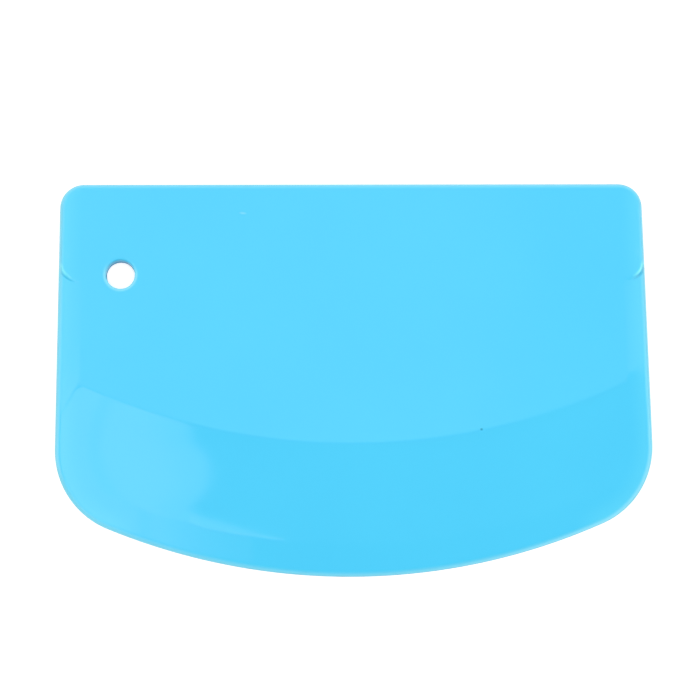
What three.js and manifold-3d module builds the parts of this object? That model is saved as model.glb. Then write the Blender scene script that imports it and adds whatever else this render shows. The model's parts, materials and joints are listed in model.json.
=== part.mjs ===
// A dough scraper: one moulded plastic plate with a straight grip edge, a curved working edge and a hang hole.
// The plate lies on its flat back. Z points out of its front face and Y towards the straight grip edge.
// The origin lies on the back, in the middle of the plate's width and height.

import * as THREE from "three";
import { mergeVertices } from "three/addons/utils/BufferGeometryUtils.js";
import Module from "manifold-3d";

// Outline, seen from the front, in millimetres and degrees.
const WIDTH = 120; // across the lower corners, where the plate is widest
const HEIGHT = 79; // from the grip edge to the lowest point of the working edge
const SIDE_FLARE = 1.2; // degrees by which each side leans outwards on its way down
const TOP_CORNER_RADIUS = 4.9;
const LOWER_CORNER_RADIUS = 16.9;
const WORKING_EDGE_RADIUS = 127.5;

// Section, from the thick grip down to the thin working edge.
const GRIP_THICKNESS = 2;
const TAPER_LENGTH = 26.5; // from the working edge up to where the taper starts
const LIP_LENGTH = 6.5; // the steeper strip that ends in the working edge
const LIP_THICKNESS = 1; // where the taper turns into the lip
const WORKING_EDGE_THICKNESS = 0.5;
const RIM_ROUND = 1.2; // rounding of the front rim; the back is flat right up to its edge
const ROUND_SHARE = 0.6; // the most of the thickness that the roundings of one edge may take

// Side bevels, which thin the sides below the grip and run out in a quarter circle at their upper end.
const SIDE_BEVEL_WIDTH = 3.9;
const SIDE_BEVEL_DEPTH = 0.5;
const SIDE_BEVEL_DROP = 15.8; // from the grip edge down to where the bevel starts

// Hang hole, near the upper left corner.
const HANG_HOLE_DIAMETER = 5.8;
const HANG_HOLE_ROUND = 0.15; // rounding of its two rims
const HANG_HOLE_FROM_SIDE = 12.2;
const HANG_HOLE_FROM_TOP = 18.2;

const CHORD_ERROR = 0.01; // how far a facet may lie from the arc that it stands for

// Values worked out from the sizes above.
const flare = THREE.MathUtils.degToRad(SIDE_FLARE);
const topY = HEIGHT / 2;
const edgeCentreY = WORKING_EDGE_RADIUS - HEIGHT / 2;
const lowerCorner = lowerCornerCentre();
const topCorner = topCornerCentre();
const rimRound = Math.min(RIM_ROUND, ROUND_SHARE * GRIP_THICKNESS);
const holeRound = Math.min(HANG_HOLE_ROUND, (ROUND_SHARE * GRIP_THICKNESS) / 2);
const cutterReach = GRIP_THICKNESS; // how far each cutter passes the plate

const wasm = await Module();
wasm.setup();

// Each lower corner touches the working edge from inside and reaches the plate's full width.
function lowerCornerCentre() {
  const x = WIDTH / 2 - LOWER_CORNER_RADIUS;
  const toEdgeCentre = WORKING_EDGE_RADIUS - LOWER_CORNER_RADIUS;
  return new THREE.Vector2(x, edgeCentreY - Math.sqrt(toEdgeCentre ** 2 - x ** 2));
}

// Each top corner touches the grip edge and the side line.
function topCornerCentre() {
  const y = topY - TOP_CORNER_RADIUS;
  return new THREE.Vector2(sideX(y) - TOP_CORNER_RADIUS / Math.cos(flare), y);
}

// The right side line touches the lower corner. This is its distance from the middle at a height.
function sideX(y) {
  const { x: cornerX, y: cornerY } = lowerCorner;
  return cornerX + (LOWER_CORNER_RADIUS - (y - cornerY) * Math.sin(flare)) / Math.cos(flare);
}

// The number of straight steps that follow an arc closely enough.
function arcSteps(radius, angle) {
  const step = 2 * Math.acos(1 - CHORD_ERROR / radius);
  return Math.max(2, Math.ceil(Math.abs(angle) / step));
}

// Points on an arc, from one angle to another, with both ends.
function arcPoints(x, y, radius, from, to) {
  const steps = arcSteps(radius, to - from);
  return Array.from({ length: steps + 1 }, (_, i) => {
    const angle = from + ((to - from) * i) / steps;
    return new THREE.Vector2(x + radius * Math.cos(angle), y + radius * Math.sin(angle));
  });
}

function mirrored(point) {
  return new THREE.Vector2(-point.x, point.y);
}

// A closed geometry as a solid that can be cut.
function solidFrom(geometry) {
  geometry.deleteAttribute("normal");
  geometry.deleteAttribute("uv");
  const merged = mergeVertices(geometry);
  const vertProperties = merged.attributes.position.array;
  const triVerts = merged.index.array;
  return new wasm.Manifold(new wasm.Mesh({ numProp: 3, vertProperties, triVerts }));
}

function geometryFrom(solid) {
  const mesh = solid.getMesh();
  const geometry = new THREE.BufferGeometry();
  geometry.setAttribute("position", new THREE.BufferAttribute(mesh.vertProperties, 3));
  geometry.setIndex(new THREE.BufferAttribute(mesh.triVerts, 1));
  geometry.computeVertexNormals();
  return geometry;
}

// A profile of (distance from the axis, height) points turned about Z.
function turned(profile, radius) {
  const geometry = new THREE.LatheGeometry(profile, arcSteps(radius, 2 * Math.PI));
  return geometry.rotateX(Math.PI / 2);
}

// The plate at its full thickness. Both its rims are rounded, the back one wholly below the back face.
function blank() {
  const join = Math.atan2(lowerCorner.y - edgeCentreY, lowerCorner.x);
  const right = [
    ...arcPoints(0, edgeCentreY, WORKING_EDGE_RADIUS, -Math.PI / 2, join),
    ...arcPoints(lowerCorner.x, lowerCorner.y, LOWER_CORNER_RADIUS, join, 0).slice(1),
    ...arcPoints(lowerCorner.x, lowerCorner.y, LOWER_CORNER_RADIUS, 0, flare).slice(1),
    ...arcPoints(topCorner.x, topCorner.y, TOP_CORNER_RADIUS, flare, Math.PI / 2),
  ];
  const left = right.slice(1).reverse().map(mirrored);
  return new THREE.ExtrudeGeometry(new THREE.Shape([...right, ...left]), {
    depth: GRIP_THICKNESS - rimRound,
    bevelThickness: rimRound,
    bevelSize: rimRound,
    bevelOffset: -rimRound,
    bevelSegments: arcSteps(rimRound, Math.PI / 2),
  });
}

// What is sliced off below the back face, with the rounding that the back doesn't have.
function backCutter() {
  const reach = rimRound + cutterReach;
  return new THREE.BoxGeometry(WIDTH + reach, HEIGHT + reach, reach).translate(0, 0, -reach / 2);
}

// The working edge's height at a distance from the middle.
function edgeY(x) {
  return edgeCentreY - Math.sqrt(WORKING_EDGE_RADIUS ** 2 - x ** 2);
}

// What is cut from the front to thin the blade: a bar with the blade's section, bowed like the working edge.
function taperCutter() {
  const taperSlope = (GRIP_THICKNESS - LIP_THICKNESS) / (TAPER_LENGTH - LIP_LENGTH);
  const lipSlope = (LIP_THICKNESS - WORKING_EDGE_THICKNESS) / LIP_LENGTH;
  const inner = TAPER_LENGTH + cutterReach;
  const top = GRIP_THICKNESS + cutterReach;
  const section = new THREE.Shape([
    new THREE.Vector2(-cutterReach, WORKING_EDGE_THICKNESS - lipSlope * cutterReach),
    new THREE.Vector2(LIP_LENGTH, LIP_THICKNESS),
    new THREE.Vector2(inner, GRIP_THICKNESS + taperSlope * cutterReach),
    new THREE.Vector2(inner, top),
    new THREE.Vector2(-cutterReach, top),
  ]);
  const halfLength = WIDTH / 2 + cutterReach;
  const bar = new THREE.ExtrudeGeometry(section, {
    depth: 2 * halfLength,
    steps: arcSteps(WORKING_EDGE_RADIUS, 2 * Math.asin(halfLength / WORKING_EDGE_RADIUS)),
    bevelEnabled: false,
  });
  const [x, y, z] = [new THREE.Vector3(1, 0, 0), new THREE.Vector3(0, 1, 0), new THREE.Vector3(0, 0, 1)];
  bar.applyMatrix4(new THREE.Matrix4().makeBasis(y, z, x)).translate(-halfLength, 0, 0);
  const { position } = bar.attributes;
  for (let i = 0; i < position.count; i++) {
    position.setY(i, position.getY(i) + edgeY(position.getX(i)));
  }
  return bar;
}

// What is cut along one side. In its own plane, x points out of the side (1 right, -1 left) and y up it.
function sideBevelCutter(side) {
  const startY = topY - SIDE_BEVEL_DROP;
  const runOut = arcPoints(-SIDE_BEVEL_WIDTH, 0, SIDE_BEVEL_WIDTH, -Math.PI / 2, 0);
  const right = [
    ...runOut,
    new THREE.Vector2(cutterReach, 0),
    new THREE.Vector2(cutterReach, -HEIGHT),
    new THREE.Vector2(-SIDE_BEVEL_WIDTH, -HEIGHT),
  ];
  const strip = new THREE.Shape(side > 0 ? right : right.map(mirrored));
  const slope = SIDE_BEVEL_DEPTH / SIDE_BEVEL_WIDTH;
  const depth = SIDE_BEVEL_DEPTH + cutterReach;
  return new THREE.ExtrudeGeometry(strip, { depth, bevelEnabled: false })
    .applyMatrix4(new THREE.Matrix4().makeShear(0, -side * slope, 0, 0, 0, 0))
    .rotateZ(side * flare)
    .translate(side * sideX(startY), startY, GRIP_THICKNESS - SIDE_BEVEL_DEPTH);
}

// What is cut for the hang hole, wider at both faces by its rounded rims.
function hangHoleCutter() {
  const radius = HANG_HOLE_DIAMETER / 2;
  const rimRadius = radius + holeRound;
  const frontRim = GRIP_THICKNESS - holeRound;
  const top = GRIP_THICKNESS + cutterReach;
  const profile = [
    new THREE.Vector2(0, -cutterReach),
    new THREE.Vector2(rimRadius, -cutterReach),
    ...arcPoints(rimRadius, holeRound, holeRound, -Math.PI / 2, -Math.PI),
    ...arcPoints(rimRadius, frontRim, holeRound, Math.PI, Math.PI / 2),
    new THREE.Vector2(rimRadius, top),
    new THREE.Vector2(0, top),
  ];
  const y = topY - HANG_HOLE_FROM_TOP;
  return turned(profile, radius).translate(HANG_HOLE_FROM_SIDE - sideX(y), y, 0);
}

function scraperPlate() {
  const sideBevels = [sideBevelCutter(1), sideBevelCutter(-1)];
  const cutters = [backCutter(), taperCutter(), ...sideBevels, hangHoleCutter()];
  const plate = cutters.reduce((rest, cutter) => rest.subtract(solidFrom(cutter)), solidFrom(blank()));
  const material = new THREE.MeshStandardMaterial({ color: 0x54d1fe, roughness: 0.15, metalness: 0 });
  const mesh = new THREE.Mesh(geometryFrom(plate), material);
  mesh.name = "scraper_plate";
  return mesh;
}

const doughScraper = new THREE.Group();
doughScraper.add(scraperPlate());

export default doughScraper;
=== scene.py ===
# %% [markdown]
# # A dough scraper
# A dough scraper is one plate of glossy plastic, a little wider than a palm. Its straight upper edge
# is the grip, its bowed lower edge follows the wall of a bowl, and a small hole lets it hang on a
# hook. The CAD solid gives the sizes. This script makes the plate that the eye sees, with its soft
# moulded rims, its thinned blade and its finish, in metres and in the frame of the CAD solid.

# %% Load the frame
import json
import math

import bmesh
import bpy
from mathutils import Euler, Matrix, Vector


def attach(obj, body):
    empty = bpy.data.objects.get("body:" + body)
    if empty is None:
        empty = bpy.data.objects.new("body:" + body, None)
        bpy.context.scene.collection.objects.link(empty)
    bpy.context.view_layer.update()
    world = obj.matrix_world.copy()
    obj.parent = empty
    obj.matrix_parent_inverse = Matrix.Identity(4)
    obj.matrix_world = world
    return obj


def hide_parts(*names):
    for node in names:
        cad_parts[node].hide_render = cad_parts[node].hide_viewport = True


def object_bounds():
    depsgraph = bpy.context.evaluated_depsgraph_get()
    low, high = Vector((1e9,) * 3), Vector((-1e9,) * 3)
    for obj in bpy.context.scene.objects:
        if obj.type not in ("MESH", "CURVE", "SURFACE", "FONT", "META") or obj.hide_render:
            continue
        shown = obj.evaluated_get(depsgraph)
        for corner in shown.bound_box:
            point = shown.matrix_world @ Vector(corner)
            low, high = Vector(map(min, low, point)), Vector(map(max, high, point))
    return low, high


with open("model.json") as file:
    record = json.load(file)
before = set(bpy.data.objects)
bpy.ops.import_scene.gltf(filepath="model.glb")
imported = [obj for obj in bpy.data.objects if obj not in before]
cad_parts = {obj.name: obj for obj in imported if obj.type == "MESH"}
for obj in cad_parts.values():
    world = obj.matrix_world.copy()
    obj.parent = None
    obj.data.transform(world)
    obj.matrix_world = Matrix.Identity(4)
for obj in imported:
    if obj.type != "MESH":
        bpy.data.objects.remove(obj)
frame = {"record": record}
cad_low, cad_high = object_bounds()
MM = 0.001
cad_size = (cad_high - cad_low) / MM
print(f"CAD solid: {cad_size.x:.2f} x {cad_size.y:.2f} x {cad_size.z:.2f} mm")

# %% [markdown]
# ## The camera
# The picture was taken from almost straight above with a long lens, so it shows the front face and
# hardly any of the thickness. The camera leans five degrees towards the working edge and a little
# less to the left. It goes back from the point in the middle of the picture, along the direction in
# which it looks, because the distance and the lean can then be set one at a time.

# %% Place the camera
PICTURE_SIDE = 700
FOCAL_LENGTH = 2000  # in pixels of the picture
CAMERA_DISTANCE = 401.5 * MM
CAMERA_AIM = Vector((-1.11, 5.8, 1.4)) * MM
CAMERA_LEAN = Euler((math.radians(5), math.radians(-3.58), math.radians(-0.37)), "ZYX")

camera_data = bpy.data.cameras.new("camera")
camera_data.lens = camera_data.sensor_width * FOCAL_LENGTH / PICTURE_SIDE
camera = bpy.data.objects.new("camera", camera_data)
camera_turn = CAMERA_LEAN.to_matrix()
camera_place = CAMERA_AIM + camera_turn @ Vector((0, 0, CAMERA_DISTANCE))
camera.matrix_world = Matrix.Translation(camera_place) @ camera_turn.to_4x4()
bpy.context.scene.collection.objects.link(camera)
bpy.context.scene.camera = camera
print("camera at", [round(value / MM, 1) for value in camera_place], "mm, lens", round(camera_data.lens, 1))

# %% [markdown]
# ## The outline
# Seen from the front, the plate is made of arcs and straight lines that run smoothly into each
# other: a wide bow for the working edge, two rounded lower corners, two sides that lean inwards on
# their way up, two small upper corners and the straight grip edge. The outline could be drawn as a
# curve. Here one vertex is spun round the centre of each arc in turn, because every arc then starts
# exactly where the one before it ended. Only the right half is drawn, and a mirror gives the rest.

# %% Find the centres of the arcs
SIDE_FLARE = math.radians(1.2)
TOP_CORNER_RADIUS = 4.9 * MM
LOWER_CORNER_RADIUS = 16.9 * MM
WORKING_EDGE_RADIUS = 127.5 * MM

edge_centre = Vector((0, cad_low.y + WORKING_EDGE_RADIUS, 0))
corner_x = cad_high.x - LOWER_CORNER_RADIUS
corner_drop = math.sqrt((WORKING_EDGE_RADIUS - LOWER_CORNER_RADIUS) ** 2 - corner_x**2)
lower_corner = Vector((corner_x, edge_centre.y - corner_drop, 0))

side_out = Vector((math.cos(SIDE_FLARE), math.sin(SIDE_FLARE), 0))
side_up = Vector((-math.sin(SIDE_FLARE), math.cos(SIDE_FLARE), 0))
side_foot = lower_corner + LOWER_CORNER_RADIUS * side_out
side_length = (cad_high.y - TOP_CORNER_RADIUS * (1 - side_out.y) - side_foot.y) / side_up.y
side_head = side_foot + side_length * side_up
top_corner = side_head - TOP_CORNER_RADIUS * side_out
print(f"lower corner at {lower_corner.x / MM:.2f}, {lower_corner.y / MM:.2f} mm,",
      f"top corner at {top_corner.x / MM:.2f}, {top_corner.y / MM:.2f} mm")

# %% Draw the outline
ARC_STEP = 0.7 * MM
SIDE_STEP = 0.25 * MM
TINY = 0.001 * MM


def sweep(bm, vert, centre, angle):
    """Spin one vertex about a centre, in short steps, and return the vertex at the end of the arc."""
    steps = math.ceil((vert.co - centre).length * angle / ARC_STEP)
    arc = bmesh.ops.spin(bm, geom=[vert], cent=centre, axis=(0, 0, 1), angle=angle, steps=steps)
    return next(part for part in arc["geom_last"] if isinstance(part, bmesh.types.BMVert))


def draw_line(bm, vert, end):
    """Extrude one vertex to a point, and return the vertex there and the edge that leads to it."""
    new = bmesh.ops.extrude_vert_indiv(bm, verts=[vert])
    last, line = new["verts"][0], new["edges"][0]
    bmesh.ops.translate(bm, verts=[last], vec=end - last.co)
    return last, line


edge_turn = math.atan2(lower_corner.x, corner_drop)
plate = bmesh.new()
point = plate.verts.new((0, cad_low.y, 0))
point = sweep(plate, point, edge_centre, edge_turn)
point = sweep(plate, point, lower_corner, math.pi / 2 + SIDE_FLARE - edge_turn)
point, side_line = draw_line(plate, point, side_head)
point = sweep(plate, point, top_corner, math.pi / 2 - SIDE_FLARE)
draw_line(plate, point, Vector((0, cad_high.y, 0)))
bmesh.ops.subdivide_edges(plate, edges=[side_line], cuts=round(side_length / SIDE_STEP))
bmesh.ops.mirror(plate, geom=plate.verts[:] + plate.edges[:], axis="X", merge_dist=TINY)
print("outline:", len(plate.verts), "vertices,", len(plate.edges), "edges")

# %% [markdown]
# ## The blank
# A moulded plate has no sharp front rim: the mould gives it a round that the thumb slides over,
# while the back is flat nearly to its edge. The outline is filled with one face and extruded to the
# thickness of the grip, and the two rims are bevelled with several segments, which makes them round.
# The blade isn't thinned yet, because an even block is easier to cut and bevel.

# %% Extrude the outline and round its rims
FRONT_ROUND = 1.2 * MM
FRONT_SEGMENTS = 8
BACK_ROUND = 0.2 * MM
BACK_SEGMENTS = 3
grip_thickness = cad_high.z - cad_low.z


def rim_edges(bm, height):
    """The edges of a flat rim at this height."""
    return [edge for edge in bm.edges if all(abs(vert.co.z - height) < TINY for vert in edge.verts)]


def round_edges(bm, edges, size, segments):
    """Bevel a rim so that it turns from one face to the other in an arc."""
    bmesh.ops.bevel(bm, geom=edges, offset=size, offset_type="OFFSET", segments=segments,
                    profile=0.5, affect="EDGES", material=-1)


bmesh.ops.contextual_create(plate, geom=plate.edges[:])
raised = bmesh.ops.extrude_face_region(plate, geom=plate.faces[:])["geom"]
raised = [part for part in raised if isinstance(part, bmesh.types.BMVert)]
bmesh.ops.translate(plate, verts=raised, vec=(0, 0, grip_thickness))
bmesh.ops.recalc_face_normals(plate, faces=plate.faces[:])
round_edges(plate, rim_edges(plate, grip_thickness), FRONT_ROUND, FRONT_SEGMENTS)
round_edges(plate, rim_edges(plate, 0), BACK_ROUND, BACK_SEGMENTS)
print("blank:", len(plate.faces), "faces,", round(plate.calc_volume() / MM**3), "cubic mm")

# %% [markdown]
# ## Cuts where the front will bend
# The front of the blank is one flat face, and a face without vertices can't take the slopes of the
# blade. A fine grid over all of it would work, but it would spend most of its faces where nothing
# happens. The face is sliced with planes instead: a strip along each side for the bevels that thin
# the sides, and below the grip rows of cuts that follow the bow of the working edge. The rows are cut
# straight while the plate is slid out of shape for a moment, so that the bow lies level.

# %% Cut a strip off along each side
STRIP_WIDTH = 5.3 * MM
SIDE_BEVEL_DROP = 15.8 * MM  # from the grip edge down to the upper end of the bevel
SIDE_BEVEL_WIDTH = 3.9 * MM


def slice_faces(bm, faces, places, normal):
    """Cut faces along parallel planes through these places, and return what becomes of the faces."""
    for place in places:
        parts = dict.fromkeys(part for face in faces for part in (face, *face.edges, *face.verts))
        cut = bmesh.ops.bisect_plane(bm, geom=list(parts), dist=TINY, plane_co=place, plane_no=normal)
        faces = [part for part in cut["geom"] if isinstance(part, bmesh.types.BMFace)]
    return faces


def steps_between(first, last, step):
    """Evenly spaced values from the first to the last, about one step apart."""
    count = round((last - first) / step)
    return [first + (last - first) * i / count for i in range(count + 1)]


def on_side(direction, side):
    """A direction or place of the right side (1), or its mirror image on the left side (-1)."""
    return Vector((direction.x * side, direction.y, direction.z))


bevel_head = side_foot + side_up * (cad_high.y - SIDE_BEVEL_DROP - side_foot.y) / side_up.y
front = max(plate.faces, key=lambda face: face.normal.z * face.calc_area())
zones = [front]
for side in (1, -1):
    out = on_side(side_out, side)
    zones = slice_faces(plate, zones, [on_side(bevel_head, side) - out * STRIP_WIDTH], out)
zones.sort(key=lambda face: face.calc_center_median().x)
left_strip, middle, right_strip = zones
print("strips of", [round(face.calc_area() / MM**2) for face in (left_strip, right_strip)], "square mm")

# %% Slice the strips, finely round the upper end of each bevel
RUN_OUT_STEP = 0.12 * MM
STRIP_STEP = 1.0 * MM
RUN_OUT_MARGIN = 0.6 * MM

strip_faces = 0
for side, strip in ((1, right_strip), (-1, left_strip)):
    head, out, up = (on_side(vector, side) for vector in (bevel_head, side_out, side_up))
    run_out = (-RUN_OUT_MARGIN, SIDE_BEVEL_WIDTH + RUN_OUT_MARGIN)
    parts = slice_faces(plate, [strip], [head - up * drop for drop in run_out], up)
    parts.sort(key=lambda face: -face.calc_center_median().y)
    across = steps_between(FRONT_ROUND, STRIP_WIDTH, RUN_OUT_STEP)[1:-1]
    along = steps_between(*run_out, RUN_OUT_STEP)[1:-1]
    fine = slice_faces(plate, [parts[1]], [head - out * inset for inset in across], out)
    fine = slice_faces(plate, fine, [head - up * drop for drop in along], up)
    along = steps_between(run_out[1], side_length + LOWER_CORNER_RADIUS, STRIP_STEP)[1:]
    coarse = slice_faces(plate, [parts[2]], [head - out * inset for inset in across[::2]], out)
    coarse = slice_faces(plate, coarse, [head - up * drop for drop in along], up)
    strip_faces += len(fine) + len(coarse)
print("strip faces:", strip_faces)

# %% Cut the blade into rows that follow its bow
TAPER_LENGTH = 26.5 * MM  # from the working edge up to where the blade starts to thin
LIP_LENGTH = 6.5 * MM  # the steeper strip along the working edge
SOFTENING = 0.5 * MM  # half the width over which one slope turns into the next
BEND_ROWS = (-1, -0.5, 0, 0.5, 1)  # places of the cuts across such a bend, as shares of the softening
BLADE_TOP = 6 * MM
COLUMN_STEP = 1.0 * MM
ROW_STEP = 5.0 * MM
X, Y = Vector((1, 0, 0)), Vector((0, 1, 0))


def edge_height(x):
    """How high the working edge lies at a distance from the middle."""
    return edge_centre.y - math.sqrt(WORKING_EDGE_RADIUS**2 - x**2)


def level_out(place):
    """Where a place goes when the plate is slid until its working edge lies level."""
    return place - Y * edge_height(place.x)


def bow_again(place):
    """The way back."""
    return place + Y * edge_height(place.x)


def bend_rows(from_edge):
    """The rows in which one slope turns into the next, this far from the working edge."""
    return [from_edge + SOFTENING * share for share in BEND_ROWS]


def move_all(bm, mapping):
    """Send every vertex where a mapping says."""
    for vert in bm.verts:
        vert.co = mapping(vert.co)


zones = slice_faces(plate, [middle], [Y * BLADE_TOP], Y)
blade, grip = sorted(zones, key=lambda face: face.calc_center_median().y)
move_all(plate, level_out)
reach = max(abs(vert.co.x) for vert in blade.verts)
columns = [X * x for x in steps_between(-reach, reach, COLUMN_STEP)[1:-1]]
between = steps_between(LIP_LENGTH + SOFTENING, TAPER_LENGTH - SOFTENING, ROW_STEP)[1:-1]
rows = bend_rows(LIP_LENGTH) + between + bend_rows(TAPER_LENGTH)
blade_faces = slice_faces(plate, [blade], columns, X)
blade_faces = slice_faces(plate, blade_faces, [Y * y for y in rows], Y)
move_all(plate, bow_again)
print("blade faces:", len(blade_faces))

# %% [markdown]
# ## The thinning blade
# The grip is two millimetres thick. Towards the working edge the front slopes down to half a
# millimetre, first gently and then more steeply over a narrow lip, and along each side a shallow
# bevel starts below the grip in a small quarter circle. Boolean cutters would leave knife-sharp
# creases. Here every vertex is pressed down by how thick the plate is at that place, and where two
# slopes meet, the smaller height is taken with a soft transition, as in polished mould steel.

# %% Work out how thick the plate is at a place
LIP_THICKNESS = 1.0 * MM
WORKING_EDGE_THICKNESS = 0.5 * MM
SIDE_BEVEL_DEPTH = 0.5 * MM
BEVEL_SOFTENING = 1.2 * MM  # half the width over which the front turns into the side bevel
RUN_OUT_ROUND = 1.1 * MM  # rounding of the step at the upper end of the bevel

taper_slope = (grip_thickness - LIP_THICKNESS) / (TAPER_LENGTH - LIP_LENGTH)
lip_slope = (LIP_THICKNESS - WORKING_EDGE_THICKNESS) / LIP_LENGTH
bevel_slope = SIDE_BEVEL_DEPTH / SIDE_BEVEL_WIDTH


def soft_min(one, other, blend):
    """The smaller of two heights, rounded where they differ by less than the blend."""
    closeness = max(blend - abs(one - other), 0) / blend
    return min(one, other) - blend * closeness**2 / 4


def blade_thickness(place):
    """The thickness that the grip, the taper and the lip leave at a place."""
    from_edge = place.y - edge_height(place.x)
    taper = LIP_THICKNESS + (from_edge - LIP_LENGTH) * taper_slope
    lip = LIP_THICKNESS + (from_edge - LIP_LENGTH) * lip_slope
    upper = soft_min(grip_thickness, taper, SOFTENING * taper_slope)
    return soft_min(upper, lip, SOFTENING * (lip_slope - taper_slope))


def beside_bevel(place):
    """How far a place lies inside the side, and below the upper end of the bevel."""
    from_head = Vector((abs(place.x), place.y, 0)) - bevel_head
    return -from_head.dot(side_out), -from_head.dot(side_up)


def past_step(inset, drop):
    """How far a place lies outside the quarter circle in which the bevel ends."""
    return math.hypot(min(inset - SIDE_BEVEL_WIDTH, 0), max(drop, 0)) - SIDE_BEVEL_WIDTH


def thickness(place):
    """The thickness of the finished plate at a place."""
    inset, drop = beside_bevel(place)
    blade = blade_thickness(place)
    bevel = grip_thickness - SIDE_BEVEL_DEPTH + inset * bevel_slope
    bevelled = soft_min(blade, bevel, BEVEL_SOFTENING * bevel_slope)
    way_down = min(max(1 + past_step(inset, drop) / RUN_OUT_ROUND, 0), 1)
    return blade + (bevelled - blade) * (1 - math.sqrt(1 - way_down**2))


print(f"slopes in degrees: taper {math.degrees(math.atan(taper_slope)):.1f},",
      f"lip {math.degrees(math.atan(lip_slope)):.1f}, side bevel {math.degrees(math.atan(bevel_slope)):.1f}")

# %% Press the plate
for vert in plate.verts:
    vert.co.z *= thickness(vert.co) / grip_thickness
print("pressed:", round(plate.calc_volume() / MM**3), "cubic mm")

# %% [markdown]
# ## The hang hole
# A pin in the mould leaves a round hole near the upper left corner. The pin narrows towards the back,
# so that the plate comes off it easily, and it leans by a hair. The front rim is well rounded. A
# boolean would do, but it makes long thin triangles round the hole. Here a small square is cut in the
# front and in the back, an inset in each is drawn out to a circle, and the front circle is extruded
# down to the back one and merged with it. The record's opening gives the middle of the hole.

# %% Cut a square round the hole on both faces and inset a circle
HOLE_RADIUS = 2.86 * MM  # at the front
HOLE_BACK_RADIUS = 2.80 * MM
HOLE_OFFSET = Vector((0.14, -0.06, 0)) * MM  # how far the pin stands from its place on the drawing
HOLE_LEAN = Vector((0.08, -0.28, 0)) * MM  # from the middle at the front to the middle at the back
HOLE_RIM_WIDTH = 0.85 * MM  # of the pale ring round the hole
HOLE_SEGMENTS = 64
HOLE_SQUARE = 4.6 * MM  # from the middle of the hole to the sides of the squares
HOLE_INSET = 0.2 * MM

opening = frame["record"]["physics"]["openings"][0]["box_m"]
hole_middle = (Vector(opening[0]) + Vector(opening[1])) / 2 + HOLE_OFFSET


def from_hole(place):
    """How far a place lies from the axis of the hole."""
    return (place - hole_middle).xy.length


def cap_at(bm, height):
    """The face at this height that lies over the hole."""
    level = [face for face in bm.faces if all(abs(vert.co.z - height) < TINY for vert in face.verts)]
    return min(level, key=lambda face: from_hole(face.calc_center_bounds()))


def inset_circles(bm, face, height, middle, radii):
    """Cut a square round the hole out of a face, and inset circles in it, the last of which is the cap."""
    faces = [face]
    for axis in (X, Y):
        places = [hole_middle + axis * reach for reach in (-HOLE_SQUARE, HOLE_SQUARE)]
        faces = slice_faces(bm, faces, places, axis)
    bmesh.ops.bisect_edges(bm, edges=list(cap_at(bm, height).edges), cuts=HOLE_SEGMENTS // 4 - 1)
    for radius in radii:
        bmesh.ops.inset_region(bm, faces=[cap_at(bm, height)], thickness=HOLE_INSET)
        for vert in cap_at(bm, height).verts:
            vert.co.xy = middle.xy + (vert.co - hole_middle).xy.normalized() * radius


back = min(plate.faces, key=lambda face: face.normal.z * face.calc_area())
inset_circles(plate, grip, grip_thickness, hole_middle, (HOLE_RADIUS + HOLE_RIM_WIDTH, HOLE_RADIUS))
inset_circles(plate, back, 0, hole_middle + HOLE_LEAN, (HOLE_BACK_RADIUS,))
print(f"hole of {2 * HOLE_RADIUS / MM:.1f} mm at {hole_middle.x / MM:.2f}, {hole_middle.y / MM:.2f} mm")

# %% Sink the hole through the plate and round its rims
HOLE_ROUND = 0.35 * MM  # at the front
SEAM_GAP = 0.01 * MM  # the most by which the wall and the back circle may miss each other
hole_reach = HOLE_RADIUS + HOLE_RIM_WIDTH / 2  # takes in both rims of the hole, but no circle round them

bmesh.ops.delete(plate, geom=[cap_at(plate, 0)], context="FACES_ONLY")
cap = cap_at(plate, grip_thickness)
sunk = bmesh.ops.extrude_face_region(plate, geom=[cap, *cap.edges, *cap.verts])["geom"]
sunk_verts = [part for part in sunk if isinstance(part, bmesh.types.BMVert)]
sunk_faces = [part for part in sunk if isinstance(part, bmesh.types.BMFace)]
narrower = HOLE_BACK_RADIUS / HOLE_RADIUS
bmesh.ops.scale(plate, verts=sunk_verts, vec=(narrower, narrower, 1),
                space=Matrix.Translation((-hole_middle.x, -hole_middle.y, 0)))
bmesh.ops.translate(plate, verts=sunk_verts, vec=HOLE_LEAN - Vector((0, 0, grip_thickness)))
bmesh.ops.delete(plate, geom=sunk_faces, context="FACES_ONLY")
seam = [vert for vert in plate.verts if vert.co.z < TINY and from_hole(vert.co) < hole_reach]
bmesh.ops.remove_doubles(plate, verts=seam, dist=SEAM_GAP)
bmesh.ops.recalc_face_normals(plate, faces=plate.faces[:])
rims = ((grip_thickness, HOLE_ROUND, FRONT_SEGMENTS), (0, BACK_ROUND, BACK_SEGMENTS))
for height, size, segments in rims:
    hole_rim = [edge for edge in rim_edges(plate, height)
                if all(from_hole(vert.co) < hole_reach for vert in edge.verts)]
    round_edges(plate, hole_rim, size, segments)
open_edges = sum(not edge.is_manifold for edge in plate.edges)
print("plate:", len(plate.faces), "faces,", open_edges, "open edges,",
      round(plate.calc_volume() / MM**3), "cubic mm")

# %% [markdown]
# ## Faces with many corners
# The cuts leave faces with many corners, and the whole back is one of them. Blender shows such a face
# well, but a program that reads the finished model splits it into triangles in its own way, and some
# of them come out as thin as a hair. A modifier could split the whole plate at the end. Here only
# these faces are split, in the way that prefers compact triangles, and the rows of the blade stay.

# %% Split the faces that have more than four corners
many_sided = [face for face in plate.faces if len(face.verts) > 4]
bmesh.ops.triangulate(plate, faces=many_sided, quad_method="BEAUTY", ngon_method="BEAUTY")
print("split:", len(many_sided), "faces, now", len(plate.faces))

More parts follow.
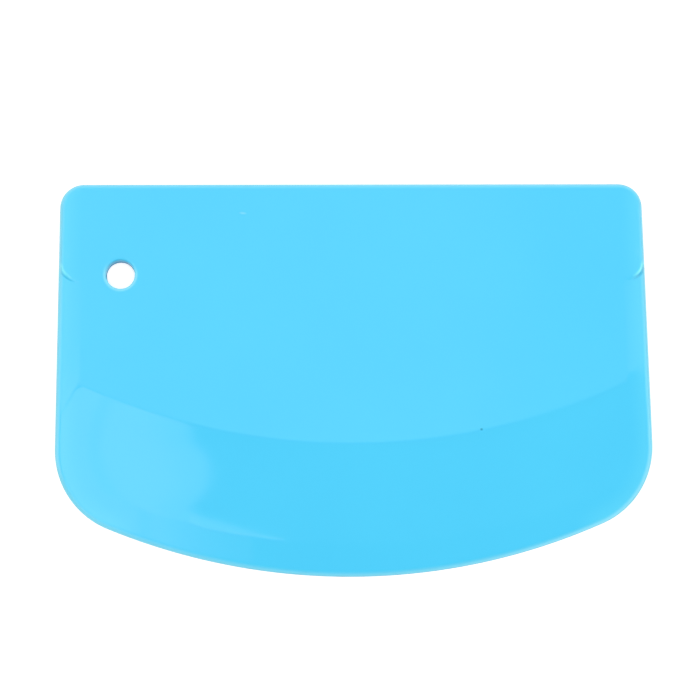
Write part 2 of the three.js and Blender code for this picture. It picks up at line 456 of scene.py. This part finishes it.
# %% [markdown]
# ## Masks for the finish and the painted light
# Light enters the plastic at its rounded rims and comes out again close by, so the rims of the real
# plate look paler than its faces, and that paling is painted light. Round the hole only the lower side
# is pale: the upper side faces away from the light and is left darker, as painted shade. The brink of
# the step above each bevel gets a painted highlight, stronger on the right, and the corner under the
# right one gets painted shade. The wall of the hole is dull, because the pin in the mould isn't
# polished, and it is painted darker as shade too. Such places could be painted on a UV map. A value on
# every vertex is simpler, and the material can read it by its name.

# %% Measure where a place lies beside the rims, the steps and the hole
HOLE_RIM = 0.7  # how much of a rim the edge of the hole counts as
HOLE_RIM_FADE = 0.2 * MM
STEP_LINE = 0.4 * MM  # half the width of a line of painted highlight or painted shade along a step
STEP_HEAD = 0.8 * MM  # such a line grows over this length at its upper end
STEP_END = 2.9 * MM  # and stops this far inside the side
STEP_FADE = 1.6 * MM  # after it has faded over this length


def from_outline(place):
    """How far inside the outline a place lies."""
    spot = Vector((abs(place.x), place.y, 0))
    gaps = [cad_high.y - spot.y, (side_foot - spot).dot(side_out)]
    gaps.append(WORKING_EDGE_RADIUS - (spot - edge_centre).length)
    for corner, radius, first, last in (
            (top_corner, TOP_CORNER_RADIUS, SIDE_FLARE, math.pi / 2),
            (lower_corner, LOWER_CORNER_RADIUS, edge_turn - math.pi / 2, SIDE_FLARE)):
        ray = spot - corner
        if first < math.atan2(ray.y, ray.x) < last:
            gaps.append(radius - ray.length)
    return min(gaps)


def along_step(place, beyond):
    """1 on a line this far beyond the step of a bevel, where the step is high, and 0 away from it."""
    inset, drop = beside_bevel(place)
    near = max(1 - abs(past_step(inset, drop) - beyond) / STEP_LINE, 0)
    return near * min(max((STEP_END - inset) / STEP_FADE, 0), 1) * min(max(drop / STEP_HEAD, 0), 1)


def round_hole(place):
    """How much of a rim a place near the hole is. The upper side faces away from the light and gets no
    paling, which paints shade there.
    """
    ray = (place - hole_middle).xy
    near = (HOLE_RADIUS + HOLE_RIM_WIDTH - ray.length) / HOLE_RIM_FADE
    return HOLE_RIM * min(max(near, 0), 1) * (1 - max(ray.y / ray.length, 0))


print(f"the middle of the hole lies {from_outline(hole_middle) / MM:.1f} mm inside the outline")

# %% Mark the rims, the painted highlights and shades, and the dull places
STEP_HIGHLIGHT = {1: 0.85, -1: 0.5}  # the painted highlight on the step on the right (1) is brighter than on the one on the left (-1)
STEP_DULL_AND_SHADE = {1: 0.45, -1: 0}  # and only the corner under the right one is rougher and painted darker as shade
STEP_RIDGE = -0.55 * MM  # places of the painted highlight and of the painted shade across a step
STEP_GROOVE = 0.05 * MM

rim_layer = plate.verts.layers.float.new("rim")
step_highlight_layer = plate.verts.layers.float.new("step_highlight")
dull_and_shade_layer = plate.verts.layers.float.new("dull_and_shade")
for vert in plate.verts:
    vert[rim_layer] = max(1 - from_outline(vert.co) / FRONT_ROUND, 0)
    if vert.co.z > grip_thickness / 2:
        side = math.copysign(1, vert.co.x)
        vert[rim_layer] = max(vert[rim_layer], round_hole(vert.co))
        # a painted highlight along the brink of each step
        vert[step_highlight_layer] = STEP_HIGHLIGHT[side] * along_step(vert.co, STEP_RIDGE)
        # painted shade, with more roughness, in the corner under the step
        vert[dull_and_shade_layer] = STEP_DULL_AND_SHADE[side] * along_step(vert.co, STEP_GROOVE)
    # the wall of the hole is rough, and painted darker as shade
    if vert.co.z < grip_thickness - HOLE_ROUND + TINY and from_hole(vert.co) < hole_reach:
        vert[dull_and_shade_layer] = 1
print("vertices on rims:", sum(vert[rim_layer] > 0 for vert in plate.verts),
      "and in dull places:", sum(vert[dull_and_shade_layer] > 0 for vert in plate.verts))

# %% [markdown]
# ## The plate as an object
# A bmesh is only a workshop. The finished mesh goes into an object, which rides on the CAD body and
# stands for its solid. Smooth shading alone would tilt the normals of the large flat faces towards
# the rims. The Weighted Normal modifier lets the large faces decide, so that they stay flat and the
# whole turn happens in the rounds.

# %% Hand the mesh over to an object
plate_mesh = bpy.data.meshes.new("scraper_skin")
plate.to_mesh(plate_mesh)
plate.free()
plate_mesh.shade_smooth()
scraper = bpy.data.objects.new("scraper_skin", plate_mesh)
bpy.context.scene.collection.objects.link(scraper)
scraper.modifiers.new("flat faces stay flat", "WEIGHTED_NORMAL")
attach(scraper, "root")
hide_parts("scraper_plate")
print(scraper.name, "has", len(plate_mesh.polygons), "faces")

# %% [markdown]
# ## The plastic
# The plate is moulded from a glossy sky blue plastic, most likely polypropylene, and its colour isn't
# perfectly even. A picture could be mapped on it, but nodes keep their detail at any distance. They
# read Object coordinates, turned into millimetres so that every size below is a real one.

# %% Start the material
BLUE_DEEP = (0.046, 0.585, 0.930, 1)
BLUE_PALE = (0.054, 0.616, 0.945, 1)
PER_METRE = 1000  # millimetres


def add_node(tree, kind, inputs=None, **settings):
    """Add a node, set what it is, and set or link its inputs."""
    node = tree.nodes.new(kind)
    for name, value in settings.items():
        setattr(node, name, value)
    for name, value in (inputs or {}).items():
        if isinstance(value, bpy.types.NodeSocket):
            tree.links.new(value, node.inputs[name])
        else:
            node.inputs[name].default_value = value
    return node


plastic = bpy.data.materials.new("blue_plastic")
plastic.use_nodes = True
tree = plastic.node_tree
tree.nodes.clear()
coordinates = add_node(tree, "ShaderNodeTexCoord").outputs["Object"]
in_mm = add_node(tree, "ShaderNodeMapping", {"Vector": coordinates, "Scale": (PER_METRE,) * 3}).outputs[0]
print("material", plastic.name, "started")

# %% Vary the blue
CLOUD_SCALE = 0.035  # patches to a millimetre
CLOUD_DETAIL = 2.0


def noise(tree, places, scale, detail):
    """A value that wanders up and down over the surface."""
    return add_node(tree, "ShaderNodeTexNoise", {
        "Vector": places, "Scale": scale, "Detail": detail}).outputs["Fac"]


def mix_colour(tree, share, one, other):
    """One colour, or the other where the share is 1."""
    mix = add_node(tree, "ShaderNodeMix", data_type="RGBA")
    # A Mix node has sockets of one name for each kind of data, so these are found by their number.
    for socket, value in ((mix.inputs[0], share), (mix.inputs[6], one), (mix.inputs[7], other)):
        if isinstance(value, bpy.types.NodeSocket):
            tree.links.new(value, socket)
        else:
            socket.default_value = value
    return mix.outputs[2]


colour = mix_colour(tree, noise(tree, in_mm, CLOUD_SCALE, CLOUD_DETAIL), BLUE_DEEP, BLUE_PALE)
print("blue from", BLUE_DEEP[:3], "to", BLUE_PALE[:3])

# %% [markdown]
# ## Painted light on the sides, painted shade in the hollows
# Where the plate thins towards its sides, more light comes through from the white table, so it looks
# paler there. That could be left to a shader that scatters light inside the plastic, which is slow and
# doesn't survive in most file formats. Here a band of paler blue follows the sides and the lower
# corners as painted light, the masks on the vertices paint light on the rims and highlights on the
# brinks of the steps, and they paint shade into the dull places.

# %% Find how far a place lies from the sides and from the lower corners
def calculate(tree, operation, *values):
    """The result of a Math node."""
    return add_node(tree, "ShaderNodeMath", dict(enumerate(values)), operation=operation).outputs[0]


x, y, _ = add_node(tree, "ShaderNodeSeparateXYZ", {0: in_mm}).outputs
half_x = calculate(tree, "ABSOLUTE", x)
across = calculate(tree, "MULTIPLY", half_x, side_out.x)
across = calculate(tree, "ADD", across, calculate(tree, "MULTIPLY", y, side_out.y))
from_side = calculate(tree, "SUBTRACT", side_foot.dot(side_out) / MM, across)
past_corner = add_node(tree, "ShaderNodeCombineXYZ", {
    "X": calculate(tree, "MAXIMUM", calculate(tree, "SUBTRACT", half_x, lower_corner.x / MM), 0.0),
    "Y": calculate(tree, "MINIMUM", calculate(tree, "SUBTRACT", y, lower_corner.y / MM), 0.0)}).outputs[0]
past_corner = add_node(tree, "ShaderNodeVectorMath", {0: past_corner}, operation="LENGTH").outputs["Value"]
from_corner = calculate(tree, "SUBTRACT", LOWER_CORNER_RADIUS / MM, past_corner)
print(f"sides {side_foot.dot(side_out) / MM:.1f} mm from the middle,",
      f"corners of {LOWER_CORNER_RADIUS / MM:.1f} mm")

# %% Paint light on the sides, the rims and the brinks of the steps, and paint shade in the dull places
# the paler band along the sides is painted light
SIDE_BLUE = (0.22, 0.90, 1.0, 1)
SIDE_GLOW = 0.14
SIDE_GLOW_WIDTH = 5.0  # millimetres
CORNER_GLOW_START = 7.0  # the band sets in over this width where the corner begins
# the paling of the rims is painted light
RIM_BLUE = (0.30, 0.80, 0.95, 1)
RIM_PALING = 0.7
# a painted highlight along the brink of each step
HIGHLIGHT_BLUE = (0.28, 1.0, 1.0, 1)
# painted shade in the hole and in the corner under the right step
SHADE_BLUE = (0.0, 0.27, 0.50, 1)


def remap(tree, value, first, last, start, end, kind="LINEAR"):
    """A value that goes evenly from start to end while another goes from first to last."""
    return add_node(tree, "ShaderNodeMapRange", interpolation_type=kind, inputs={
        "Value": value, "From Min": first, "From Max": last, "To Min": start, "To Max": end}).outputs[0]


def fade(tree, value, first, last, start, end):
    """The same, but with a soft start and a soft end."""
    return remap(tree, value, first, last, start, end, kind="SMOOTHSTEP")


def read_mask(tree, name):
    """A mask that was stored on the vertices under this name."""
    return add_node(tree, "ShaderNodeAttribute", attribute_name=name).outputs["Fac"]


corner_start = lower_corner.x / MM
corner_glow = calculate(tree, "MULTIPLY", fade(tree, from_corner, 0, SIDE_GLOW_WIDTH, SIDE_GLOW, 0),
                        fade(tree, half_x, corner_start, corner_start + CORNER_GLOW_START, 0, 1))
glow = calculate(tree, "MAXIMUM", fade(tree, from_side, 0, SIDE_GLOW_WIDTH, SIDE_GLOW, 0), corner_glow)
rim, step_highlight, dull_and_shade = (read_mask(tree, name) for name in ("rim", "step_highlight", "dull_and_shade"))
colour = mix_colour(tree, glow, colour, SIDE_BLUE)
colour = mix_colour(tree, fade(tree, rim, 0, 1, 0, RIM_PALING), colour, RIM_BLUE)
colour = mix_colour(tree, step_highlight, colour, HIGHLIGHT_BLUE)
colour = mix_colour(tree, dull_and_shade, colour, SHADE_BLUE)
print("sides paler within", SIDE_GLOW_WIDTH, "mm of the edge")

# %% [markdown]
# ## Marks of use
# The real plate has a short pale nick below its grip edge and a dark speck in its blade, perhaps a
# grain of scorched plastic. They could be cut into the mesh, but they are smaller than most of its
# faces. Here each is an oval mask round its place, which mixes in a colour and costs no faces.

# %% Add the nick and the speck
NICK_BLUE = (0.50, 0.88, 1.0, 1)
NICK_SHARE = 0.2  # how far its colour covers the blue
NICK_PLACE = (-22.4, 33.5, 2)  # millimetres
NICK_TILT = math.radians(-6)
NICK_REACH = (1.0, 0.34, 1)  # from its middle to its ends, along and across
SPECK_BLUE = (0.0, 0.30, 0.55, 1)
SPECK_PLACE = (25.1, -10.4, 2)
SPECK_REACH = (0.42, 0.36, 1)
MARK_CORE = 0.2  # the part of the reach over which a mark is whole


def mark(tree, place, tilt, reach):
    """A soft oval mask of this reach, in millimetres, round a place on the front."""
    oval = add_node(tree, "ShaderNodeMapping", vector_type="TEXTURE", inputs={
        "Vector": in_mm, "Location": place, "Rotation": (0, 0, tilt), "Scale": reach})
    length = add_node(tree, "ShaderNodeVectorMath", {0: oval.outputs[0]}, operation="LENGTH")
    return fade(tree, length.outputs["Value"], MARK_CORE, 1, 1, 0)


nick = mark(tree, NICK_PLACE, NICK_TILT, NICK_REACH)
speck = mark(tree, SPECK_PLACE, 0, SPECK_REACH)
colour = mix_colour(tree, calculate(tree, "MULTIPLY", nick, NICK_SHARE), colour, NICK_BLUE)
colour = mix_colour(tree, speck, colour, SPECK_BLUE)
print("nick at", NICK_PLACE[:2], "and speck at", SPECK_PLACE[:2], "mm")

# %% [markdown]
# ## The polish
# Even mirror-bright plastic has faint waves where it shrank in the mould, a fine skin like orange peel
# and hairline scratches from handling. Displacement could raise them, but they are a hundredth of a
# millimetre high at most, far less than the mesh can hold. A bump in the material bends the
# reflections in the same way.

# %% Scratch the surface and give it its polish
HAIRLINE_TURNS = (math.radians(17), math.radians(-52))
HAIRLINE_STRETCH = (0.05, 6.0, 1)  # strands to a millimetre, along and across
HAIRLINE_CRESTS = (0.74, 0.80)  # only the crests of the strands show as scratches
HAIRLINE_ROUGHNESS = 0.10
POLISH = (0.02, 0.045)  # the least and the most roughness
MOTTLE_SCALE = 0.3
MOTTLE_DETAIL = 3.0


def hairlines(tree, turn):
    """Thin scratches that all run about one way, as a mask with few of them showing."""
    turned = add_node(tree, "ShaderNodeMapping", {
        "Vector": in_mm, "Rotation": (0, 0, turn), "Scale": HAIRLINE_STRETCH}).outputs[0]
    return remap(tree, noise(tree, turned, 1, 1), *HAIRLINE_CRESTS, 0, 1)


scratches = calculate(tree, "MAXIMUM", *(hairlines(tree, turn) for turn in HAIRLINE_TURNS))
roughness = remap(tree, noise(tree, in_mm, MOTTLE_SCALE, MOTTLE_DETAIL), 0, 1, *POLISH)
roughness = calculate(tree, "ADD", roughness, calculate(tree, "MULTIPLY", scratches, HAIRLINE_ROUGHNESS))
roughness = calculate(tree, "MAXIMUM", roughness, dull_and_shade)
print("roughness from", POLISH[0], "to", POLISH[1], "and more on scratches and dull places")

# %% Raise waves and sink the scratches
WAVE_HEIGHT = 0.012 * MM
WAVE_SCALE = 0.06
PEEL_HEIGHT = 0.0003 * MM
PEEL_SCALE = 0.8
HAIRLINE_DEPTH = 0.0004 * MM
NICK_DEPTH = 0.004 * MM

height = calculate(tree, "MULTIPLY", noise(tree, in_mm, WAVE_SCALE, 0), WAVE_HEIGHT)
peel = noise(tree, in_mm, PEEL_SCALE, 1)
for mask, amount in ((peel, PEEL_HEIGHT), (scratches, -HAIRLINE_DEPTH), (nick, -NICK_DEPTH)):
    height = calculate(tree, "ADD", height, calculate(tree, "MULTIPLY", mask, amount))
bump = add_node(tree, "ShaderNodeBump", {"Height": height, "Distance": 1.0, "Strength": 1.0})
print(f"waves of {WAVE_HEIGHT / MM} mm")

# %% Finish the material
PLASTIC_IOR = 1.49

shader = add_node(tree, "ShaderNodeBsdfPrincipled", {
    "Base Color": colour, "Roughness": roughness, "IOR": PLASTIC_IOR, "Normal": bump.outputs["Normal"]})
add_node(tree, "ShaderNodeOutputMaterial", {"Surface": shader.outputs[0]})
plate_mesh.materials.append(plastic)
print("material", plastic.name, "has", len(tree.nodes), "nodes")

# %% [markdown]
# ## The table and the light
# The plate lies on a white table in a bright tent. The table shows as pure white to the camera and in
# reflections, but it is an ordinary pale surface for the light, so it keeps the shadow of the plate.
# The cloth of the tent could be modelled round the table. Here the world stands for it, which needs no
# geometry: it is white all round, but darker towards the mouth of the tent below the working edge.

# %% Lay the plate on a white table
TABLE_SIDE = 6.0
TABLE_GAP = 0.02 * MM

table_bm = bmesh.new()
bmesh.ops.create_grid(table_bm, x_segments=1, y_segments=1, size=TABLE_SIDE / 2,
                      matrix=Matrix.Translation((0, 0, -TABLE_GAP)))
table_mesh = bpy.data.meshes.new("table")
table_bm.to_mesh(table_mesh)
table_bm.free()
table = bpy.data.objects.new("table", table_mesh)
bpy.context.scene.collection.objects.link(table)
print("table of", TABLE_SIDE, "m")

# %% Paint the table
TABLE_WHITE = 0.55
TABLE_LIFT = 0.68  # what the camera and reflections see on top of the lit white


def seen(tree):
    """1 for a ray from the camera, a reflection or a see-through surface, and 0 for light."""
    path = add_node(tree, "ShaderNodeLightPath").outputs
    shown = calculate(tree, "MAXIMUM", path["Is Camera Ray"], path["Is Glossy Ray"])
    return calculate(tree, "MAXIMUM", shown, path["Is Transmission Ray"])


table_white = bpy.data.materials.new("table_white")
table_white.use_nodes = True
tree = table_white.node_tree
tree.nodes.clear()
matt = add_node(tree, "ShaderNodeBsdfDiffuse", {"Color": (TABLE_WHITE,) * 3 + (1,)})
lift = add_node(tree, "ShaderNodeEmission", {"Strength": calculate(tree, "MULTIPLY", seen(tree), TABLE_LIFT)})
both = add_node(tree, "ShaderNodeAddShader", {0: matt.outputs[0], 1: lift.outputs[0]})
add_node(tree, "ShaderNodeOutputMaterial", {"Surface": both.outputs[0]})
table_mesh.materials.append(table_white)
print("table reflects", TABLE_WHITE, "of the light")

# %% Light the tent
TENT_LIGHT = 0.60  # what the cloth gives to light the plate; where it is seen, it is 1
TENT_MOUTH = 0.5  # how much of the light is left towards the open side
MOUTH_OPEN = -0.45  # a direction whose Y is less than this leads out of the mouth
CLOTH_WHOLE = -0.08  # and one whose Y is more than this meets whole cloth

world = bpy.data.worlds.new("tent")
bpy.context.scene.world = world
world.use_nodes = True
tree = world.node_tree
tree.nodes.clear()
direction = add_node(tree, "ShaderNodeTexCoord").outputs["Generated"]
towards_back = add_node(tree, "ShaderNodeSeparateXYZ", {0: direction}).outputs["Y"]
cloth = remap(tree, towards_back, MOUTH_OPEN, CLOTH_WHOLE, TENT_MOUTH, 1)
level = remap(tree, seen(tree), 0, 1, TENT_LIGHT, 1)
path = add_node(tree, "ShaderNodeLightPath").outputs
strength = calculate(tree, "MAXIMUM", calculate(tree, "MULTIPLY", cloth, level), path["Is Camera Ray"])
background = add_node(tree, "ShaderNodeBackground", {"Color": (1, 1, 1, 1), "Strength": strength})
add_node(tree, "ShaderNodeOutputWorld", {"Surface": background.outputs[0]})
print("tent light", TENT_LIGHT)

# %% [markdown]
# ## The softboxes
# Glossy plastic shows what hangs above it. The flat grip mirrors a wide softbox, and the taper starts
# with a line, because the blade mirrors the darker cloth below the hem of that softbox. An area lamp is
# evenly bright by itself, so it could be dimmed by sheets that hang before it. Here the nodes of each
# lamp dim it from place to place, which needs no geometry. Each fade below is given by the two places
# in metres between which it happens, and by the strengths before and after.

# %% Prepare the lamps
SOFTBOX_HEIGHT = 1.5
LAMP_STEP = 0.01  # lamps at one height would hide one another where they overlap


def hang_lamp(name, place, size, radiance, target=None):
    """An area lamp of this size in metres that shines straight down, or towards a target."""
    lamp = bpy.data.lights.new(name, "AREA")
    lamp.shape = "RECTANGLE"
    lamp.size, lamp.size_y = size
    lamp.energy = radiance * math.pi * lamp.size * lamp.size_y
    thing = bpy.data.objects.new(name, lamp)
    thing.location = place
    if target:
        thing.rotation_euler = (Vector(target) - Vector(place)).to_track_quat("-Z", "Y").to_euler()
    thing.visible_camera = False
    bpy.context.scene.collection.objects.link(thing)
    print(f"{name}: {lamp.energy:.2f} W")
    return thing


def lamp_places(thing):
    """The node tree of a lamp that shines down, and the places on it in metres, across and along."""
    lamp = thing.data
    lamp.use_nodes = True
    tree = lamp.node_tree
    share = add_node(tree, "ShaderNodeNewGeometry").outputs["Parametric"]
    corner = (thing.location.x - lamp.size / 2, thing.location.y - lamp.size_y / 2, 0)
    places = add_node(tree, "ShaderNodeMapping", {
        "Vector": share, "Scale": (lamp.size, lamp.size_y, 1), "Location": corner}).outputs[0]
    x, y, _ = add_node(tree, "ShaderNodeSeparateXYZ", {0: places}).outputs
    return tree, x, y


print("lamps hang", SOFTBOX_HEIGHT, "m above the table")

# %% Hang the wide softbox
LEFT_GLOW = (-0.21, -0.07, 0.25, 0)  # what its left end adds
EVEN_GLOW = (0.18, 0.33, 1.1, 0.68)  # and the rest, which is dimmer at the right end


def shine_by(tree, *masks):
    """Let a lamp shine by the product of some masks."""
    strength = masks[0]
    for mask in masks[1:]:
        strength = calculate(tree, "MULTIPLY", strength, mask)
    tree.links.new(strength, tree.nodes["Emission"].inputs["Strength"])


wide = hang_lamp("wide_softbox", place=(-0.1935, 0.49, SOFTBOX_HEIGHT), size=(1.227, 0.98), radiance=0.65)
tree, x, _ = lamp_places(wide)
shine_by(tree, calculate(tree, "ADD", fade(tree, x, *LEFT_GLOW), fade(tree, x, *EVEN_GLOW)))

# %% [markdown]
# ## The window
# The left part of the blade mirrors a window. A curtain with a bowed edge hangs over its right part, a
# thin bar crosses it, and a little light comes in under the curtain, which the blade shows as a thin
# wedge. A modelled window would do the same, but its parts would have to be placed by eye, through the
# mirror. Here the edges are worked out on the lamp itself, and each can be moved by one number.

# %% Hang the window
CURTAIN_BOW = {"middle": -0.128, "bend": 26.0, "most": 0.024}
CURTAIN_VEIL = (-0.141, -0.085, 1, 0.72)  # the curtain starts as a thin veil
CURTAIN_CLOTH = (-0.088, -0.060, 1, 0)  # and then lets no light through
BAR_BOW = {"middle": -0.10, "bend": 9.0, "most": 0.03}
BAR_PLACE = -0.216
BAR_EDGE = (0.003, 0.013, 0.75, 1)  # away from the middle of the bar, which only dims the light
SILL = (-0.22, -0.20, 0, 1)  # up the window
BELOW_SILL = (-0.22, -0.05, 1, 0.2)  # the light that is left below the sill


def bow(tree, place, middle, bend, most):
    """How far a bowed edge stands off at a place along it, from 0 in the middle up to a most."""
    away = calculate(tree, "SUBTRACT", place, middle)
    stand_off = calculate(tree, "MULTIPLY", calculate(tree, "MULTIPLY", away, away), bend)
    return calculate(tree, "MINIMUM", stand_off, most)


window_place = (-0.255, -0.16, SOFTBOX_HEIGHT - LAMP_STEP)
window = hang_lamp("window", place=window_place, size=(0.43, 0.28), radiance=1.7)
tree, x, y = lamp_places(window)
past_curtain = calculate(tree, "ADD", x, bow(tree, y, **CURTAIN_BOW))
past_bar = calculate(tree, "SUBTRACT", x, bow(tree, y, **BAR_BOW))
from_bar = calculate(tree, "ABSOLUTE", calculate(tree, "SUBTRACT", past_bar, BAR_PLACE))
above_sill = calculate(tree, "MULTIPLY", fade(tree, past_curtain, *CURTAIN_VEIL),
                       fade(tree, past_curtain, *CURTAIN_CLOTH))
curtain = add_node(tree, "ShaderNodeMix", data_type="FLOAT", inputs={
    0: fade(tree, y, *SILL), 2: fade(tree, x, *BELOW_SILL), 3: above_sill}).outputs[0]
shine_by(tree, curtain, fade(tree, from_bar, *BAR_EDGE))

# %% Let light in under the curtain
HEM_SLOPE = -0.26
HEM_LEVEL = -0.1897
HEM_EDGE = (-0.0025, 0.0025, 1, 0)  # up across the slanting hem


def above_line(tree, x, y, slope, level):
    """How far a place on a lamp lies above a slanting line."""
    return calculate(tree, "SUBTRACT", y, calculate(tree, "MULTIPLY_ADD", x, slope, level))


gap_place = (-0.0455, -0.19, SOFTBOX_HEIGHT - 2 * LAMP_STEP)
gap = hang_lamp("curtain_gap", place=gap_place, size=(0.109, 0.07), radiance=1.2)
tree, x, y = lamp_places(gap)
shine_by(tree, fade(tree, above_line(tree, x, y, HEM_SLOPE, HEM_LEVEL), *HEM_EDGE))

# %% [markdown]
# ## Panels and cards
# The bevels along the sides and the lower left rim look past the softbox and the window, so small
# panels hang where they look. The other rims look far out to the sides, where three large cards stand
# at the left, the right and the back. The cards could be plain lamps. Here each fades out towards its
# borders, because in other views the mirror image of a hard border would look like a crease.

# %% Hang the panels at the left and the right
LEFT_PANEL_DIMMING = (0.11, 0.15, 1, 0.4)  # up the panel
RIGHT_PANEL_SLOPE = 0.08
RIGHT_PANEL_LEVEL = 0.07
RIGHT_PANEL_EDGE = (-0.008, 0.008, 0, 1)  # up across its slanting lower edge
panel_height = SOFTBOX_HEIGHT - 3 * LAMP_STEP

left_panel = hang_lamp("left_panel", place=(-0.535, 0.325, panel_height), size=(0.63, 0.55), radiance=0.55)
tree, _, y = lamp_places(left_panel)
shine_by(tree, fade(tree, y, *LEFT_PANEL_DIMMING))
right_panel = hang_lamp("right_panel", place=(0.715, 0.325, panel_height), size=(0.59, 0.55), radiance=0.76)
tree, x, y = lamp_places(right_panel)
shine_by(tree, fade(tree, above_line(tree, x, y, RIGHT_PANEL_SLOPE, RIGHT_PANEL_LEVEL), *RIGHT_PANEL_EDGE))

# %% Hang the panels at the lower left
CORNER_PANEL_END = (-0.33, -0.28, 1, 0)  # from left to right
LOW_PANEL_DIMMING = (-0.35, -0.10, 1, 0.3)

corner_panel = hang_lamp("corner_panel", place=(-0.39, 0.015, panel_height), size=(0.22, 0.07), radiance=0.75)
tree, x, _ = lamp_places(corner_panel)
shine_by(tree, fade(tree, x, *CORNER_PANEL_END))
low_place = (-0.45, -0.52, SOFTBOX_HEIGHT - 4 * LAMP_STEP)
low_panel = hang_lamp("low_panel", place=low_place, size=(0.70, 0.45), radiance=1.0)
tree, x, _ = lamp_places(low_panel)
shine_by(tree, fade(tree, x, *LOW_PANEL_DIMMING))

# %% Stand the cards at the sides
CARD_HALF = 0.5  # from the middle of a card to its border, as a share of its side
CARD_CORE = 0.25  # the same to the border of its evenly bright part
AIM = (0, 0, 0)  # the middle of the plate


def soften(thing):
    """Let a card fade out towards its borders, so that its mirror image has no hard edge."""
    thing.data.use_nodes = True
    tree = thing.data.node_tree
    share = add_node(tree, "ShaderNodeNewGeometry").outputs["Parametric"]
    masks = []
    for place in add_node(tree, "ShaderNodeSeparateXYZ", {0: share}).outputs[:2]:
        from_middle = calculate(tree, "ABSOLUTE", calculate(tree, "SUBTRACT", place, CARD_HALF))
        masks.append(fade(tree, from_middle, CARD_CORE, CARD_HALF, 1, 0))
    shine_by(tree, *masks)


soften(hang_lamp("left_card", place=(-0.84, 0.15, 0.65), size=(1.2, 1.09), radiance=1.2, target=AIM))
soften(hang_lamp("right_card", place=(0.74, -0.36, 0.73), size=(1.87, 0.88), radiance=1.65, target=AIM))
soften(hang_lamp("back_card", place=(0, 1.0, 0.65), size=(2.4, 1.09), radiance=0.5, target=AIM))

# %% [markdown]
# ## Finish
# The picture uses the plain view transform, so that a colour shows as it is written.

# %% Set the view and finish
bpy.context.scene.view_settings.view_transform = "Standard"
